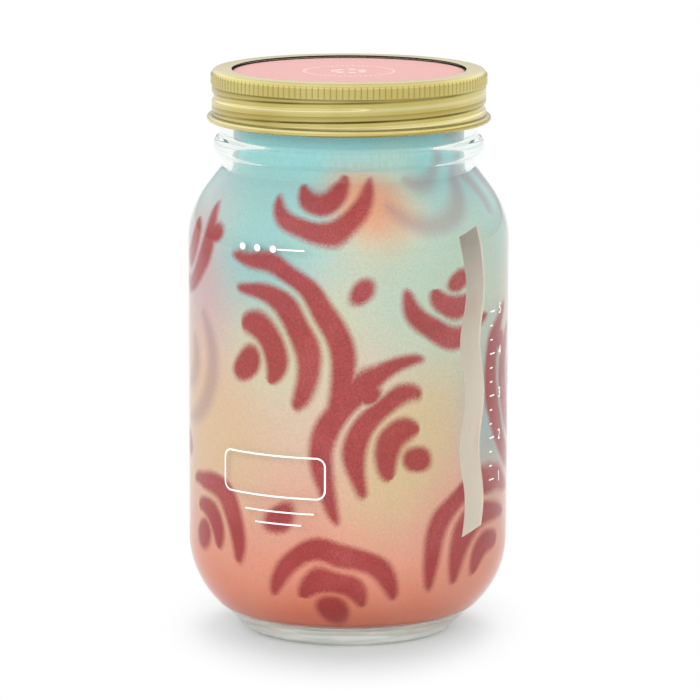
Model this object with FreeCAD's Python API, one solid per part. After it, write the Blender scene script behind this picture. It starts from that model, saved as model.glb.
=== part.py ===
import FreeCAD, Part
import math
import os

# Hydroponic jar planter, in millimetres.
# +Z is up, the origin is on the jar's axis in the plane that it stands on, and -Y is the front.

# Glass jar, outside
jar_height = 177.5
body_radius = 51.05
foot_radius = 33.5
foot_width = 5.5
foot_round = 4.5
push_up = 3.4
push_up_slope = 7.0
push_up_round = 5.0
heel_height = 18.0
heel_round = 40.0
shoulder_slope = 37.5  # degrees from upright
shoulder_round = 28.0
neck_radius = 40.2
neck_height = 3.4
neck_round = 3.0
bead_radius = 43.05
bead_height = 6.6
bead_round = 2.4
bead_root_round = 0.8
bead_flank_share = 0.22
finish_height = 18.3
finish_radius = 40.95
rim_round = 1.1

# Glass jar, inside
wall = 3.0
shoulder_wall = 3.5
mouth_radius = 36.8
inner_neck_round = 10.0
inner_shoulder_round = 24.0
inner_heel_round = 24.0
inner_floor_round = 7.0
heel_wall = 3.2
floor_height = 8.2

# Screw thread, right-handed, of the glass and of the band
thread_lead = 5.9
thread_height = 1.85
thread_root_half = 1.35
thread_crest_half = 0.7
thread_turns = 1.0
thread_start_angle = -128.0  # degrees round from +X
thread_play = 2.5  # the band's roll runs this far below the glass thread
thread_sink = 0.25

# Printed liner
liner_gap = 0.15
liner_film = 0.3
liner_below_rim = 9.0
liner_foot_height = 9.8
window_angle = 52.2  # degrees to the right of the front
window_low = 38.0
window_high = 131.0
window_width = 9.6
window_end_slant = 2.4
window_wave = 1.3
window_wave_length = 34.0
window_points_per_wave = 6

# Lid: screw band, disc, card and seal
band_height = 16.4
band_sheet = 0.4
lip_radius = 37.05
band_wall_gap = 0.3
band_corner_round = 1.5
knurl_height = 3.7
knurl_below_top = 1.1
knurl_depth = 0.35
knurl_count = 144
curl_radius = 1.0
roll_turns = 1.14
roll_depth = 0.65
roll_wall_half = 1.7
roll_crest_half = 0.9
roll_outer_half = 1.25
roll_floor_half = 0.55
roll_above_curl = 0.85
lip_play = 0.05
disc_sheet = 0.3
disc_side_gap = 0.2
disc_panel_drop = 0.75
disc_panel_radius = 38.6
card_thickness = 0.35
card_side_gap = 0.25
seal_thickness = 1.2
seal_inner_gap = 0.3
seal_side_gap = 0.1

# Net pot, of stainless sheet
pot_sheet = 0.6
pot_flange_sheet = 0.5
pot_flange_inset = 0.35
pot_depth = 63.5
pot_collar_depth = 6.5
pot_neck_gap = 0.7
pot_floor_radius = 28.0
pot_rows = 4
pot_columns = 20
pot_slot_width = 3.2
pot_slot_length = 9.5
pot_slot_margin = 3.4
floor_hole_radius = 1.4
floor_hole_count = 10
floor_hole_rings = 2
floor_hole_gap = 2.8
wick_slot_play = 1.0

# Wick and what the pot holds
wick_width = 12.0
wick_thickness = 1.6
wick_foot_gap = 5.5
wick_leg = 20.0
wick_bend = 1.0
medium_height = 24.0
medium_gap = 0.5
carbon_size = 38.0
carbon_thickness = 8.0
sachet_length = 42.0
sachet_width = 30.0
sachet_thickness = 6.0
seed_packet_length = 44.0
seed_packet_width = 32.0
seed_packet_thickness = 1.4
seed_packet_turn = 22.0  # degrees
leaflet_length = 46.0
leaflet_width = 30.0
leaflet_thickness = 1.0
leaflet_leaves = 3
leaflet_turn = -14.0  # degrees
pillow_round_share = 0.42
packet_round = 2.0
pouch_round = 4.0
packet_round_limit_share = 0.25

# Cuts run this far past what they cut
overrun = 1.0

UP = FreeCAD.Vector(0, 0, 1)
AXIS = FreeCAD.Vector(0, 0, 0)

# Heights that follow from the sizes above
bead_top = jar_height - finish_height
bead_low = bead_top - bead_height
neck_low = bead_low - neck_height
flange_top = jar_height + pot_flange_sheet
seal_top = flange_top + seal_thickness
disc_top = seal_top + disc_sheet
lip_low = disc_top + lip_play
lip_top = lip_low + band_sheet
card_top = disc_top - disc_panel_drop + card_thickness
band_inner_radius = finish_radius + thread_height + band_wall_gap
band_outer_radius = band_inner_radius + band_sheet
pot_floor_low = jar_height - pot_depth
pot_floor_top = pot_floor_low + pot_sheet
pot_collar_radius = mouth_radius - liner_gap - liner_film - pot_neck_gap
pot_collar_low = jar_height - pot_collar_depth


def point(r, z):
    return FreeCAD.Vector(r, 0, z)


def corner(path, i):
    """Corner i of a path as a vector and its rounding radius, 0 where none is given."""
    here = path[i]
    return point(here[0], here[1]), (here[2] if len(here) > 2 else 0)


def runs_at(path, i):
    """From corner i of a path: the ways back and ahead, and half the angle that the path turns by."""
    here = corner(path, i)[0]
    back = corner(path, i - 1)[0] - here
    ahead = corner(path, i + 1)[0] - here
    return back, ahead, (math.pi - back.getAngle(ahead)) / 2


def fitted(path, room_share=0.95):
    """The path with each rounding cut down where two neighbours would share more than their run."""
    reaches = [0] * len(path)
    for i in range(1, len(path) - 1):
        reaches[i] = corner(path, i)[1] * math.tan(runs_at(path, i)[2])
    for i in range(len(path) - 1):
        length = (corner(path, i + 1)[0] - corner(path, i)[0]).Length
        scale = room_share * length / max(reaches[i] + reaches[i + 1], room_share * length)
        reaches[i] *= scale
        reaches[i + 1] *= scale
    result = [path[0]]
    for i in range(1, len(path) - 1):
        result.append((path[i][0], path[i][1], reaches[i] / math.tan(runs_at(path, i)[2])))
    return result + [path[-1]]


def rounded(path):
    """Edges along a path of (r, z, rounding) corners."""
    edges = []
    start = corner(path, 0)[0]
    for i in range(1, len(path) - 1):
        here, radius = corner(path, i)
        back, ahead, half_turn = runs_at(path, i)
        if radius == 0:
            edges.append(Part.LineSegment(start, here).toShape())
            start = here
            continue
        reach = radius * math.tan(half_turn)
        first = here + back.normalize() * reach
        last = here + ahead.normalize() * reach
        middle = here + (back + ahead).normalize() * (radius / math.cos(half_turn) - radius)
        edges.append(Part.LineSegment(start, first).toShape())
        edges.append(Part.Arc(first, middle, last).toShape())
        start = last
    edges.append(Part.LineSegment(start, corner(path, len(path) - 1)[0]).toShape())
    return edges


def moved_in(path, distance):
    """The path moved sideways to its left by a distance, its roundings changed to stay parallel."""
    moved = []
    for i in range(len(path)):
        here, radius = corner(path, i)
        sides = []
        if i > 0:
            sides.append((here - corner(path, i - 1)[0]).normalize())
        if i < len(path) - 1:
            sides.append((corner(path, i + 1)[0] - here).normalize())
        normals = [FreeCAD.Vector(-side.z, 0, side.x) for side in sides]
        across = normals[0] + normals[-1]
        across.normalize()
        place = here + across * (distance / across.dot(normals[0]))
        turn = sides[0].z * sides[-1].x - sides[0].x * sides[-1].z
        change = distance if turn > 0 else -distance
        moved.append((place.x, place.z, max(radius + change, 0) if radius else 0))
    return moved


def turned(edges):
    """A solid of revolution about the jar's axis from the edges of a closed outline."""
    face = Part.Face(Part.Wire(Part.__sortEdges__(edges)))
    return face.revolve(AXIS, UP, 360)


def closed(path):
    """Edges of a closed outline from its corners, with a straight last side."""
    last, first = corner(path, len(path) - 1)[0], corner(path, 0)[0]
    return rounded(fitted(path)) + [Part.LineSegment(last, first).toShape()]


def ring(inner, outer, low, high):
    """A plain ring with flat ends, or a disc where the inner radius is 0."""
    body = Part.makeCylinder(outer, high - low, point(0, low))
    if inner == 0:
        return body
    return body.cut(Part.makeCylinder(inner, high - low + overrun * 2, point(0, low - overrun)))


def helical_bar(outline, turns, low):
    """A bar along the thread's helix, whose outline is (r, height from the helix) corners."""
    radius = outline[0][0]
    helix = Part.makeHelix(thread_lead, thread_lead * turns, radius)
    section = Part.makePolygon([point(r, z) for r, z in outline + outline[:1]])
    bar = Part.Wire(helix).makePipeShell([section], True, True)
    bar = Part.Solid(bar) if bar.ShapeType != "Solid" else bar
    if bar.Volume < 0:
        bar.reverse()
    bar.rotate(AXIS, UP, thread_start_angle)
    bar.translate(point(0, low))
    return bar


def inner_wall():
    """The jar's inside from its mouth down to its floor, as (r, z, rounding) corners."""
    slope = math.radians(shoulder_slope)
    inner_radius = body_radius - wall
    # the inner shoulder runs beside the outer one, a shoulder wall away
    outer_corner = neck_low - (body_radius - neck_radius) / math.tan(slope)
    drop = shoulder_wall / math.sin(slope)
    shoulder_corner = outer_corner + wall / math.tan(slope) - drop
    mouth_corner = shoulder_corner + (inner_radius - mouth_radius) / math.tan(slope)
    # and the inner heel beside the outer heel
    heel = math.atan2(body_radius - foot_radius, heel_height)
    heel_corner = heel_height - wall / math.tan(heel) + heel_wall / math.sin(heel)
    floor_radius = inner_radius - (heel_corner - floor_height) * math.tan(heel)
    return [
        (mouth_radius, jar_height),
        (mouth_radius, mouth_corner, inner_neck_round),
        (inner_radius, shoulder_corner, inner_shoulder_round),
        (inner_radius, heel_corner, inner_heel_round),
        (floor_radius, floor_height, inner_floor_round),
        (0, floor_height),
    ]


def glass_jar():
    slope = math.radians(shoulder_slope)
    ring_inner = foot_radius - foot_width
    outside = [
        (0, push_up),
        (ring_inner - push_up_slope, push_up, push_up_round),
        (ring_inner, 0, foot_round),
        (foot_radius, 0, foot_round),
        (body_radius, heel_height, heel_round),
        (body_radius, neck_low - (body_radius - neck_radius) / math.tan(slope), shoulder_round),
        (neck_radius, neck_low, neck_round),
        (neck_radius, bead_low, bead_root_round),
        (bead_radius, bead_low + bead_height * bead_flank_share, bead_round),
        (bead_radius, bead_top - bead_height * bead_flank_share, bead_round),
        (finish_radius, bead_top, bead_root_round),
        (finish_radius, jar_height, rim_round),
    ]
    inside = inner_wall()
    inside[0] = (mouth_radius, jar_height, rim_round)
    body = turned(closed(outside + inside))
    root = finish_radius - thread_sink
    thread = helical_bar(
        [
            (root, -thread_root_half),
            (finish_radius + thread_height, -thread_crest_half),
            (finish_radius + thread_height, thread_crest_half),
            (root, thread_root_half),
        ],
        thread_turns,
        roll_start_height() + thread_play,
    )
    return body.fuse(thread).removeSplitter()


def wave_edge(side, low, high):
    """One long edge of the liner's window, a slow wave up the jar."""
    steps = max(4, round(window_points_per_wave * (high - low) / window_wave_length))
    points = []
    for i in range(steps + 1):
        z = low + (high - low) * i / steps
        swing = window_wave * math.sin(2 * math.pi * (z - window_low) / window_wave_length)
        points.append(FreeCAD.Vector(side * window_width / 2 + swing, 0, z))
    curve = Part.BSplineCurve()
    curve.interpolate(points)
    return curve.toShape(), points[0], points[-1]


def liner_window():
    """The clear strip's outline, pushed out through the liner's wall."""
    left, left_low, left_high = wave_edge(-1, window_low - window_end_slant, window_high)
    right, right_low, right_high = wave_edge(1, window_low, window_high + window_end_slant)
    ends = [Part.LineSegment(left_low, right_low).toShape(), Part.LineSegment(left_high, right_high).toShape()]
    face = Part.Face(Part.Wire(Part.__sortEdges__([left, right] + ends)))
    face.translate(FreeCAD.Vector(0, -body_radius - overrun, 0))
    cutter = face.extrude(FreeCAD.Vector(0, body_radius - mouth_radius / 2, 0))
    cutter.rotate(AXIS, UP, window_angle)
    return cutter


def printed_liner():
    """A film that follows the glass from the neck down to the heel, open at both ends."""
    wall_path = fitted(inner_wall())
    # the path runs down the wall, so a negative distance moves it inward
    outer = rounded(moved_in(wall_path, -liner_gap))
    inner = rounded(moved_in(wall_path, -liner_gap - liner_film))
    ends = []
    for outer_edge, inner_edge, end in ((outer[0], inner[0], 0), (outer[-1], inner[-1], -1)):
        ends.append(Part.LineSegment(outer_edge.Vertexes[end].Point, inner_edge.Vertexes[end].Point).toShape())
    covered = ring(0, body_radius, liner_foot_height, jar_height - liner_below_rim)
    return turned(outer + inner + ends).common(covered).cut(liner_window())


def roll_start_height():
    """The height at which the band's rolled thread starts, a little above its curl."""
    return lip_top - band_height + curl_radius * 2 + roll_above_curl


def knurl():
    """The ring of fine upright teeth below the band's top corner."""
    tooth = 2 * math.pi / knurl_count
    points = []
    for i in range(knurl_count):
        for share, radius in ((0, band_outer_radius), (0.5, band_outer_radius + knurl_depth)):
            angle = (i + share) * tooth
            points.append(FreeCAD.Vector(radius * math.cos(angle), radius * math.sin(angle), 0))
    face = Part.Face(Part.makePolygon(points + points[:1]))
    teeth = face.extrude(UP * knurl_height)
    teeth.translate(point(0, lip_top - knurl_below_top - knurl_height))
    return teeth


def screw_band():
    curl_low = lip_top - band_height
    section = [
        (lip_radius, lip_top),
        (band_outer_radius, lip_top, band_corner_round),
        (band_outer_radius, curl_low + curl_radius),
        (band_inner_radius, curl_low + curl_radius),
        (band_inner_radius, lip_low, band_corner_round - band_sheet),
        (lip_radius, lip_low),
    ]
    shell = turned(closed(section))
    curl = Part.makeTorus(band_inner_radius + curl_radius, curl_radius, point(0, curl_low + curl_radius))
    hollow = Part.makeCylinder(band_inner_radius, band_height, point(0, lip_low - band_height))
    teeth = knurl().cut(hollow)
    inner_roll = helical_bar(
        [
            (band_inner_radius + band_sheet / 2, -roll_wall_half),
            (band_inner_radius + band_sheet / 2, roll_wall_half),
            (band_inner_radius - roll_depth, roll_crest_half),
            (band_inner_radius - roll_depth, -roll_crest_half),
        ],
        roll_turns,
        roll_start_height(),
    )
    outer_roll = helical_bar(
        [
            (band_outer_radius + overrun, -roll_outer_half),
            (band_outer_radius + overrun, roll_outer_half),
            (band_outer_radius, roll_outer_half),
            (band_outer_radius - roll_depth, roll_floor_half),
            (band_outer_radius - roll_depth, -roll_floor_half),
            (band_outer_radius, -roll_outer_half),
        ],
        roll_turns,
        roll_start_height(),
    )
    return shell.fuse([curl, teeth, inner_roll]).cut(outer_roll).removeSplitter()


def lid_disc():
    """A pressed disc: a dished panel, a flat rim over the seal, and a skirt that ends level with the panel."""
    outer_radius = band_inner_radius - disc_side_gap
    panel_top = disc_top - disc_panel_drop
    corner_round = band_corner_round - band_sheet
    panel_low = panel_top - disc_sheet
    section = [
        (0, panel_top),
        (disc_panel_radius, panel_top),
        (disc_panel_radius, disc_top, disc_sheet),
        (outer_radius, disc_top, corner_round),
        (outer_radius, panel_low),
        (outer_radius - disc_sheet, panel_low),
        (outer_radius - disc_sheet, disc_top - disc_sheet, corner_round - disc_sheet),
        (disc_panel_radius + disc_sheet, disc_top - disc_sheet),
        (disc_panel_radius + disc_sheet, panel_low, disc_sheet),
        (0, panel_low),
    ]
    return turned(closed(section))


def lid_card():
    return ring(0, disc_panel_radius - card_side_gap, card_top - card_thickness, card_top)


def lid_seal():
    # the seal lies under the flat of the disc's rim, inside its rounded edge
    outer_radius = band_inner_radius - disc_side_gap - (band_corner_round - band_sheet) - seal_side_gap
    inner_radius = disc_panel_radius + disc_sheet + seal_inner_gap
    return ring(inner_radius, outer_radius, flange_top, seal_top)


def pot_radius(z):
    """Outer radius of the tapered pot wall at a height."""
    share = (z - pot_floor_top) / (pot_collar_low - pot_floor_top)
    return pot_floor_radius + (pot_collar_radius - pot_floor_radius) * share


def net_pot_rim():
    inner = pot_collar_radius - pot_sheet
    outer = finish_radius - pot_flange_inset
    path = [
        (inner, pot_collar_low),
        (inner, flange_top, pot_flange_sheet),
        (outer, flange_top),
        (outer, jar_height),
        (pot_collar_radius, jar_height),
        (pot_collar_radius, pot_collar_low),
    ]
    return turned(closed(path))


def slot_cutter(length, width, depth):
    """An upright slot with round ends, its middle on the X axis, reaching outward."""
    straight = length - width
    body = Part.makeBox(depth, width, straight, FreeCAD.Vector(0, -width / 2, -straight / 2))
    ends = []
    for z in (-straight / 2, straight / 2):
        ends.append(Part.makeCylinder(width / 2, depth, point(0, z), FreeCAD.Vector(1, 0, 0)))
    return body.fuse(ends)


def net_pot_wall():
    cone = [
        (pot_floor_radius, pot_floor_top),
        (pot_collar_radius, pot_collar_low),
        (pot_collar_radius - pot_sheet, pot_collar_low),
        (pot_floor_radius - pot_sheet, pot_floor_top),
    ]
    shell = turned(closed(cone))
    room = pot_collar_low - pot_floor_top - 2 * pot_slot_margin - pot_slot_length
    slots = []
    for row in range(pot_rows):
        z = pot_floor_top + pot_slot_margin + pot_slot_length / 2 + room * row / (pot_rows - 1)
        for column in range(pot_columns):
            slot = slot_cutter(pot_slot_length, pot_slot_width, pot_collar_radius)
            slot.translate(point(pot_radius(z) / 2, z))
            slot.rotate(AXIS, UP, 360 * (column + 0.5 * (row % 2)) / pot_columns)
            slots.append(slot)
    return shell.cut(Part.makeCompound(slots))


def net_pot_floor():
    floor = ring(0, pot_floor_radius, pot_floor_low, pot_floor_top)
    length, width = wick_width + wick_slot_play, wick_thickness + wick_slot_play
    cuts = [
        Part.makeBox(
            length,
            width,
            pot_sheet + overrun * 2,
            FreeCAD.Vector(-length / 2, -width / 2, pot_floor_low - overrun),
        )
    ]
    first_ring = length / 2 + floor_hole_gap
    for k in range(floor_hole_rings):
        radius = first_ring + (pot_floor_radius - first_ring) * (k + 0.5) / floor_hole_rings
        count = floor_hole_count * (k + 1)
        for i in range(count):
            angle = 2 * math.pi * (i + 0.5 * k) / count
            place = FreeCAD.Vector(radius * math.cos(angle), radius * math.sin(angle), pot_floor_low - overrun)
            cuts.append(Part.makeCylinder(floor_hole_radius, pot_sheet + overrun * 2, place))
    return floor.cut(cuts)


def wick_strip():
    """A felt strip: one leg lies on the pot's floor, the other hangs through the slot to the reservoir."""
    low = floor_height + wick_foot_gap
    half = wick_thickness / 2
    side = [
        (-half, low),
        (-half, pot_floor_top + wick_thickness, wick_bend + wick_thickness),
        (wick_leg, pot_floor_top + wick_thickness),
        (wick_leg, pot_floor_top),
        (half, pot_floor_top),
        (half, low),
    ]
    face = Part.Face(Part.Wire(Part.__sortEdges__(closed(side))))
    strip = face.extrude(FreeCAD.Vector(0, wick_width, 0))
    strip.translate(FreeCAD.Vector(0, -wick_width / 2, 0))
    strip.rotate(AXIS, UP, 90)
    return strip


def grow_medium():
    """The block of coco fibre, shaped to the pot above the wick."""
    low = pot_floor_top + wick_thickness
    high = low + medium_height
    inset = pot_sheet + medium_gap
    return turned(closed([(0, low), (pot_radius(low) - inset, low), (pot_radius(high) - inset, high), (0, high)]))


def pillow(length, width, thickness, low, turn):
    """A filled bag as a block with well rounded sides."""
    block = Part.makeBox(length, width, thickness, FreeCAD.Vector(-length / 2, -width / 2, low))
    upright = [e for e in block.Edges if abs(e.tangentAt(e.FirstParameter).z) > 0.5]
    block = block.makeFillet(min(pouch_round, width * packet_round_limit_share), upright)
    flat = [e for e in block.Edges if abs(e.tangentAt(e.FirstParameter).z) < 0.5]
    block = block.makeFillet(thickness * pillow_round_share, flat)
    block.rotate(AXIS, UP, turn)
    return block


def packet(length, width, thickness, low, turn):
    """A flat paper packet with rounded corners."""
    block = Part.makeBox(length, width, thickness, FreeCAD.Vector(-length / 2, -width / 2, low))
    upright = [e for e in block.Edges if abs(e.tangentAt(e.FirstParameter).z) > 0.5]
    block = block.makeFillet(min(packet_round, width * packet_round_limit_share), upright)
    block.rotate(AXIS, UP, turn)
    return block


medium_top = pot_floor_top + wick_thickness + medium_height
carbon_top = medium_top + carbon_thickness
sachet_top = carbon_top + sachet_thickness
seed_packet_top = sachet_top + seed_packet_thickness

parts = {
    "glass_jar": glass_jar(),
    "printed_liner": printed_liner(),
    "screw_band": screw_band(),
    "lid_disc": lid_disc(),
    "lid_card": lid_card(),
    "lid_seal_ring": lid_seal(),
    "net_pot_rim": net_pot_rim(),
    "net_pot_wall": net_pot_wall(),
    "net_pot_floor": net_pot_floor(),
    "wick_strip": wick_strip(),
    "grow_medium": grow_medium(),
    "carbon_pouch": pillow(carbon_size, carbon_size, carbon_thickness, medium_top, 0),
    "plant_food_sachet": pillow(sachet_length, sachet_width, sachet_thickness, carbon_top, 0),
    "seed_packet": packet(
        seed_packet_length, seed_packet_width, seed_packet_thickness, sachet_top, seed_packet_turn
    ),
    "care_leaflet": packet(
        leaflet_length, leaflet_width, leaflet_thickness * leaflet_leaves, seed_packet_top, leaflet_turn
    ),
}

os.makedirs("parts", exist_ok=True)
for name, shape in parts.items():
    box = shape.optimalBoundingBox()
    print(name, "valid" if shape.isValid() else "not valid", len(shape.Solids), "solid", round(shape.Volume), "mm3")
    print("    ", round(box.XMin, 2), round(box.YMin, 2), round(box.ZMin, 2), "to", end=" ")
    print(round(box.XMax, 2), round(box.YMax, 2), round(box.ZMax, 2))
    shape.exportStep("parts/" + name + ".step")
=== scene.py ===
import functools
import math
import random

import bpy
from mathutils import Matrix, Vector, noise


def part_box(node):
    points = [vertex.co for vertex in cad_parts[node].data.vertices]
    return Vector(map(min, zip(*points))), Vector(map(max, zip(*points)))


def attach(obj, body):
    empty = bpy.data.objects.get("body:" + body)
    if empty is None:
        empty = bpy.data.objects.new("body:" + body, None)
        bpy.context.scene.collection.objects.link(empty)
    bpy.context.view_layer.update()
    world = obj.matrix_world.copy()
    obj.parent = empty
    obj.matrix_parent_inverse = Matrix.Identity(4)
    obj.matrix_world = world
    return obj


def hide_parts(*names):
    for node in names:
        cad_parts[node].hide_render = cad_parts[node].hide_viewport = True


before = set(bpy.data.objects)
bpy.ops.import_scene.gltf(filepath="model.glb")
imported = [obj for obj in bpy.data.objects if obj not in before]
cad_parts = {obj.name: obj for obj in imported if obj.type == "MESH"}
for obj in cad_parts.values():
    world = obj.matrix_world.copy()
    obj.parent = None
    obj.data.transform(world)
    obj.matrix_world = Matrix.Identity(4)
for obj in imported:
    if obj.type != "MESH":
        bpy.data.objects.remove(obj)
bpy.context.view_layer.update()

# Hydroponic jar planter. Everything is in metres, with +Z up and the front towards -Y.
# Angles round the jar are counted in degrees from the front, positive towards +X.
MM = 0.001
DEGREE = math.radians(1)

# Sizes taken from the frame
jar_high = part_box("glass_jar")[1]
liner_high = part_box("printed_liner")[1]
band_low, band_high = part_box("screw_band")
wick_low, wick_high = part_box("wick_strip")
medium_low, medium_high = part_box("grow_medium")
carbon_low, carbon_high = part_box("carbon_pouch")
sachet_low, sachet_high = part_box("plant_food_sachet")
seeds_low, seeds_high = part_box("seed_packet")
leaflet_low, leaflet_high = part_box("care_leaflet")
jar_height = jar_high.z
body_radius = jar_high.x
liner_radius = liner_high.x

# The jar's outline. It is the solid's, apart from the heel: the solid's is plain, and this one has the
# photograph's ledge between the foot ring and the heel.
WALL = 3.0 * MM
SHOULDER_WALL = 3.5 * MM
HEEL_WALL = 3.2 * MM
FOOT_RADIUS = 33.5 * MM
FOOT_WIDTH = 5.5 * MM
FOOT_ROUND = 4.5 * MM
PUSH_UP = 3.4 * MM
PUSH_UP_SLOPE = 7.0 * MM
PUSH_UP_ROUND = 5.0 * MM
HEEL_HEIGHT = 17.5 * MM
HEEL_ROUND = 34.0 * MM
HEEL_LOW = 8.4 * MM
HEEL_LOW_RADIUS = 41.9 * MM
RING_TOP = 7.1 * MM
RING_TOP_RADIUS = 39.8 * MM
LEDGE_ROUND = 0.3 * MM
SHOULDER_SLOPE = math.radians(37.5)
SHOULDER_ROUND = 28.0 * MM
NECK_RADIUS = 40.2 * MM
NECK_HEIGHT = 3.4 * MM
NECK_ROUND = 3.0 * MM
BEAD_RADIUS = 43.05 * MM
BEAD_HEIGHT = 6.6 * MM
BEAD_ROUND = 2.4 * MM
BEAD_ROOT_ROUND = 0.8 * MM
BEAD_FLANK = 0.22 * BEAD_HEIGHT
FINISH_HEIGHT = 18.3 * MM
FINISH_RADIUS = 40.95 * MM
RIM_ROUND = 1.1 * MM
MOUTH_RADIUS = 36.8 * MM
INNER_NECK_ROUND = 10.0 * MM
INNER_SHOULDER_ROUND = 24.0 * MM
INNER_HEEL_ROUND = 24.0 * MM
INNER_FLOOR_ROUND = 7.0 * MM
FLOOR_HEIGHT = 8.2 * MM
bead_top = jar_height - FINISH_HEIGHT
bead_low = bead_top - BEAD_HEIGHT
neck_low = bead_low - NECK_HEIGHT
shoulder_height = neck_low - (body_radius - NECK_RADIUS) / math.tan(SHOULDER_SLOPE)

# Steps of the outlines and of the jar's mesh
ARC_STEPS = 9
JAR_SEGMENTS = 240
JAR_ROW = 6 * MM
FINISH_ROW = 0.25 * MM

# Screw thread of glass and band
THREAD_LEAD = 5.9 * MM
THREAD_HEIGHT = 1.85 * MM
THREAD_HALF = 1.3 * MM
THREAD_START = -38.0
THREAD_PLAY = 2.5 * MM
THREAD_TURNS = 1.0
THREAD_FADE = 14.0
THREAD_STEEPNESS = 1.5

# Liner. It clings to the glass up to the neck, and stands free in the neck.
LINER_GAP = 0.15 * MM
LINER_FILM = 0.3 * MM
LINER_CLING = 0.05 * MM
CLING_TOP = 149.0 * MM
CLING_EASE = 2.0 * MM
BOTTOM_HOLE = 24.0 * MM
FILM_GLOW = 0.95
LINER_ARC_STEPS = 14
LINER_ROW = 3.0 * MM
LINER_LEAST_ROW = 0.6 * MM
LINER_FLOOR_ROWS = 7
LINER_COLUMNS = 210

# The liner's clear strip. Its edges wave, and the columns of the mesh beside it follow them.
WINDOW_ANGLE = 52.2
WINDOW_LOW = 38.0 * MM
WINDOW_HIGH = 131.0 * MM
WINDOW_WIDTH = 9.6 * MM
WINDOW_COLUMNS = 6
WINDOW_SLANT = 2.4 * MM
WINDOW_SLANT_REACH = 12.0 * MM
WINDOW_WAVE = 1.3 * MM
WINDOW_WAVE_LENGTH = 34.0 * MM
WINDOW_WAVE_FADE = 15.0 * MM
WINDOW_BESIDE = 30.0

# Band
LIP_RADIUS = 37.05 * MM
BAND_SHEET = 0.4 * MM
BAND_WALL_RADIUS = 43.5 * MM
BAND_CORNER = 1.5 * MM
KNURL_TOP = 1.1 * MM
KNURL_HEIGHT = 3.7 * MM
KNURL_DEPTH = 0.35 * MM
KNURL_EASE = 0.35 * MM
KNURL_COUNT = 144
CURL_RADIUS = 1.0 * MM
ROLL_DEPTH = 0.65 * MM
ROLL_HALF = 1.5 * MM
ROLL_START = 2.85 * MM
ROLL_TURNS = 1.14
CURL_START, CURL_STEP, CURL_STEPS = 125, 20, 16
BAND_ROW = 0.19 * MM
BAND_INSIDE_ROW = 0.4 * MM
knurl_high = band_high.z - KNURL_TOP
knurl_low = knurl_high - KNURL_HEIGHT

# White marks
MARK_DEPTH = 0.06 * MM
mark_radius = body_radius + MARK_DEPTH / 2
DOT_CORNERS = 20
FRAME_STEPS, FRAME_PIECE = 6, 1.2 * MM
RULE = 0.5 * MM
SCALE_ANGLE, SCALE_LOW, SCALE_STEP, SCALE_MARKS, SCALE_LONG = 61, 52 * MM, 4.5 * MM, 13, 3
NUMBER_ANGLE, NUMBER_SIZE = 69.5, 4.76 * MM

# Soft pieces. The wick sways and twists from a little below the slot, more and more over a length.
UP = Vector((0, 0, 1))
SHEET_ROW = 1.5 * MM
FELT_THICKNESS, FELT_EDGE = 1.3 * MM, 0.45
FELT_FUZZ, FELT_FUZZ_SIZE = 0.08 * MM, 1.3 * MM
WICK_BEND, WICK_WIDTH_SHARE, WICK_COLUMNS = 2.2 * MM, 0.97, 6
WICK_HELD, WICK_FREED = 12 * MM, 30 * MM
WICK_SWAY, WICK_SWAY_LENGTH = 0.7 * MM, 13 * MM
WICK_TWIST, WICK_TWIST_LENGTH = math.radians(5), 19 * MM
COCO_ROW, COCO_SEGMENTS = 1.1 * MM, 150
COCO_PIT, COCO_PIT_SIDE, COCO_TOP = 0.8 * MM, 0.8, 3 * MM
FIBRE_COUNT, FIBRE_STEPS, FIBRE_STEP = 330, 5, 1.3 * MM
FIBRE_HALF, FIBRE_ARCH = 0.11 * MM, 0.3 * MM
PILLOW_HALF_STEPS, PILLOW_REST, PILLOW_PULL, PILLOW_LUMP = 22, 0.4, 0.05, 4 * MM
SEAM_HALF, SEAM_WAVE, CRIMP_LENGTH = 0.16 * MM, 0.25 * MM, 0.9 * MM
SEED_PACKET, SEED_TURN = (44 * MM, 32 * MM), 22.0
FLAP_THICKNESS, FLAP_ROWS, FLAP_COLUMNS = 0.35 * MM, 8, 10
LEAFLET, LEAFLET_TURN = (30 * MM, 46 * MM), 76.0
LEAFLET_COLUMNS, LEAFLET_CURL, TOP_LEAF, PAPER_HALF = 12, 0.4 * MM, 0.72, 0.1 * MM

# Floor
FLOOR_HALF = 6.0
FLOOR_OVAL, FLOOR_FADE_START, FLOOR_FADE_END = 1.47, 0.038, 0.093


# Meshes

def outline(corners, steps=ARC_STEPS):
    """Points along (r, z, rounding) corners, with each rounding cut down to the runs beside it."""
    places = [Vector(c[:2]) for c in corners]
    rounds = [c[2] if len(c) > 2 else 0 for c in corners]
    turns, reaches = [0] * len(corners), [0] * len(corners)
    for i in range(1, len(corners) - 1):
        back, ahead = places[i - 1] - places[i], places[i + 1] - places[i]
        turns[i] = (math.pi - back.angle(ahead)) / 2
        reaches[i] = rounds[i] * math.tan(turns[i])
    for i in range(len(corners) - 1):
        room = 0.95 * (places[i + 1] - places[i]).length
        scale = room / max(reaches[i] + reaches[i + 1], room)
        reaches[i] *= scale
        reaches[i + 1] *= scale
    points = [places[0]]
    for i in range(1, len(corners) - 1):
        if reaches[i] < 1e-9:
            points.append(places[i])
            continue
        back = (places[i - 1] - places[i]).normalized()
        ahead = (places[i + 1] - places[i]).normalized()
        radius = reaches[i] / math.tan(turns[i])
        centre = places[i] + (back + ahead).normalized() * (radius / math.cos(turns[i]))
        start, end = places[i] + back * reaches[i] - centre, places[i] + ahead * reaches[i] - centre
        sweep = start.angle_signed(end)
        for k in range(steps + 1):
            points.append(centre + Matrix.Rotation(-sweep * k / steps, 2) @ start)
    return points + [places[-1]]


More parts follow.
